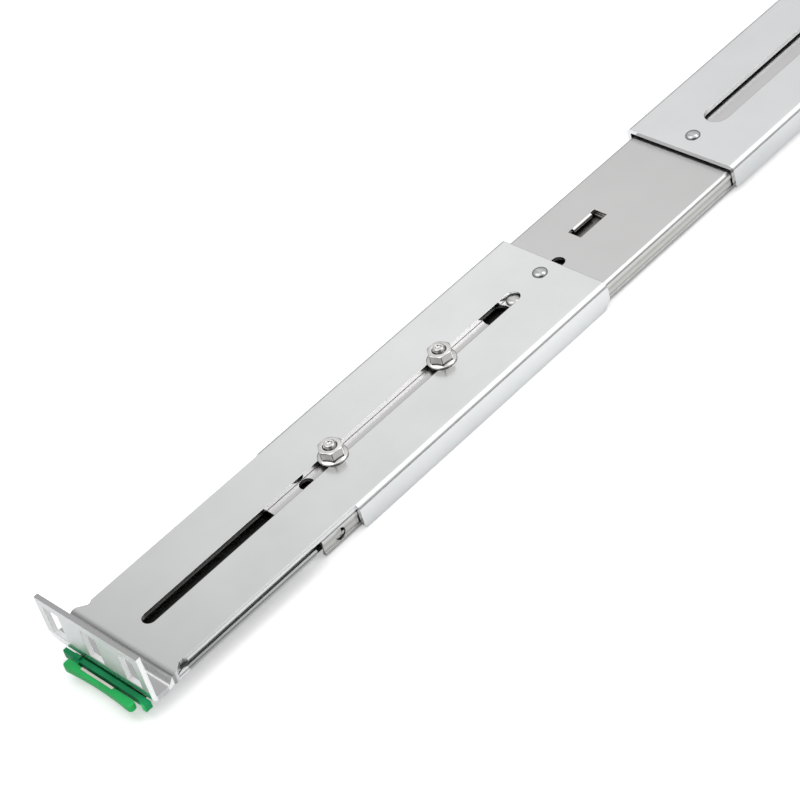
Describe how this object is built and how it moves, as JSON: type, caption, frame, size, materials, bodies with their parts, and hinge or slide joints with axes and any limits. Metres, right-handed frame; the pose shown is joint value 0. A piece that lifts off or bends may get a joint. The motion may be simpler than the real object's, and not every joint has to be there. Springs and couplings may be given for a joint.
{
  "type": "sliding rack rail",
  "caption": "Telescopic ball bearing rail for a rack mounted server: slotted zinc brackets for the front and rear posts clamped to a three member slide, with a green release handle.",
  "frame": {"origin": "on the front flange's front face, mid width, level with the top of the front bracket's web", "axes": "+X back along the rail, +Y to the left seen from the front, +Z out of the slotted web, towards the cabinet side"},
  "size_m": [0.7033, 0.0436, 0.0231],
  "materials": {
    "bracket_zinc": "bright zinc plated sheet, satin",
    "slide_steel": "cold rolled steel, satin",
    "bright_hardware": "nickel plated, polished",
    "retainer_steel": "plain steel strip",
    "ball_steel": "polished bearing balls",
    "spring_steel": "spring steel",
    "green_plastic": "moulded, half matt",
    "black_rubber": "moulded rubber"
  },
  "bodies": {
    "slide_outer": {"outer_member": "slide_steel", "front_studs": "bright_hardware", "rear_studs": "bright_hardware", "front_flange_nuts": "bright_hardware", "rear_flange_nuts": "bright_hardware", "rear_shouldered_collars": "bright_hardware", "rear_clamp_washers": "bright_hardware", "rear_bumper": "black_rubber"},
    "front_support": {"front_bracket": "bracket_zinc"},
    "rear_support": {"rear_bracket": "bracket_zinc"},
    "outer_cage": {"outer_ball_retainer": "retainer_steel", "outer_balls": "ball_steel"},
    "slide_middle": {"middle_member": "slide_steel"},
    "inner_cage": {"inner_ball_retainer_left": "retainer_steel", "inner_ball_retainer_right": "retainer_steel", "inner_balls": "ball_steel"},
    "slide_inner": {"inner_member": "slide_steel", "latch_guide_rivets": "bright_hardware", "latch_return_spring": "spring_steel", "lever_pivot_rivet": "bright_hardware", "lever_leaf_spring": "spring_steel"},
    "release": {"release_handle": "green_plastic", "latch_bar": "bracket_zinc"},
    "disconnect": {"disconnect_lever": "green_plastic"}
  },
  "joints": [
    {"name": "front_bracket_adjust", "type": "slide", "parent": "slide_outer", "child": "front_support", "axis": [1, 0, 0], "range_m": [0, 0.045]},
    {"name": "rear_bracket_adjust", "type": "slide", "parent": "slide_outer", "child": "rear_support", "axis": [1, 0, 0], "range_m": [-0.012, 0.08]},
    {"name": "middle_slide", "type": "slide", "parent": "slide_outer", "child": "slide_middle", "axis": [1, 0, 0], "range_m": [-0.25, 0]},
    {"name": "inner_slide", "type": "slide", "parent": "slide_middle", "child": "slide_inner", "axis": [1, 0, 0], "range_m": [-0.26, 0]},
    {"name": "outer_cage_roll", "type": "slide", "parent": "slide_outer", "child": "outer_cage", "axis": [1, 0, 0], "range_m": [-0.125, 0]},
    {"name": "inner_cage_roll", "type": "slide", "parent": "slide_middle", "child": "inner_cage", "axis": [1, 0, 0], "range_m": [-0.13, 0]},
    {"name": "release_pull", "type": "slide", "parent": "slide_inner", "child": "release", "axis": [-1, 0, 0], "range_m": [0, 0.003], "stiffness_N_per_m": 800, "springref_m": -0.001},
    {"name": "lever_turn", "type": "hinge", "parent": "slide_inner", "child": "disconnect", "pos_m": [0.245, 0, -0.00685], "axis": [0, 0, 1], "range_deg": [0, 8], "stiffness_Nm_per_rad": 0.1}
  ],
  "couplings": [
    {"joint": "outer_cage_roll", "follows": "middle_slide", "ratio": 0.5},
    {"joint": "inner_cage_roll", "follows": "inner_slide", "ratio": 0.5}
  ]
}
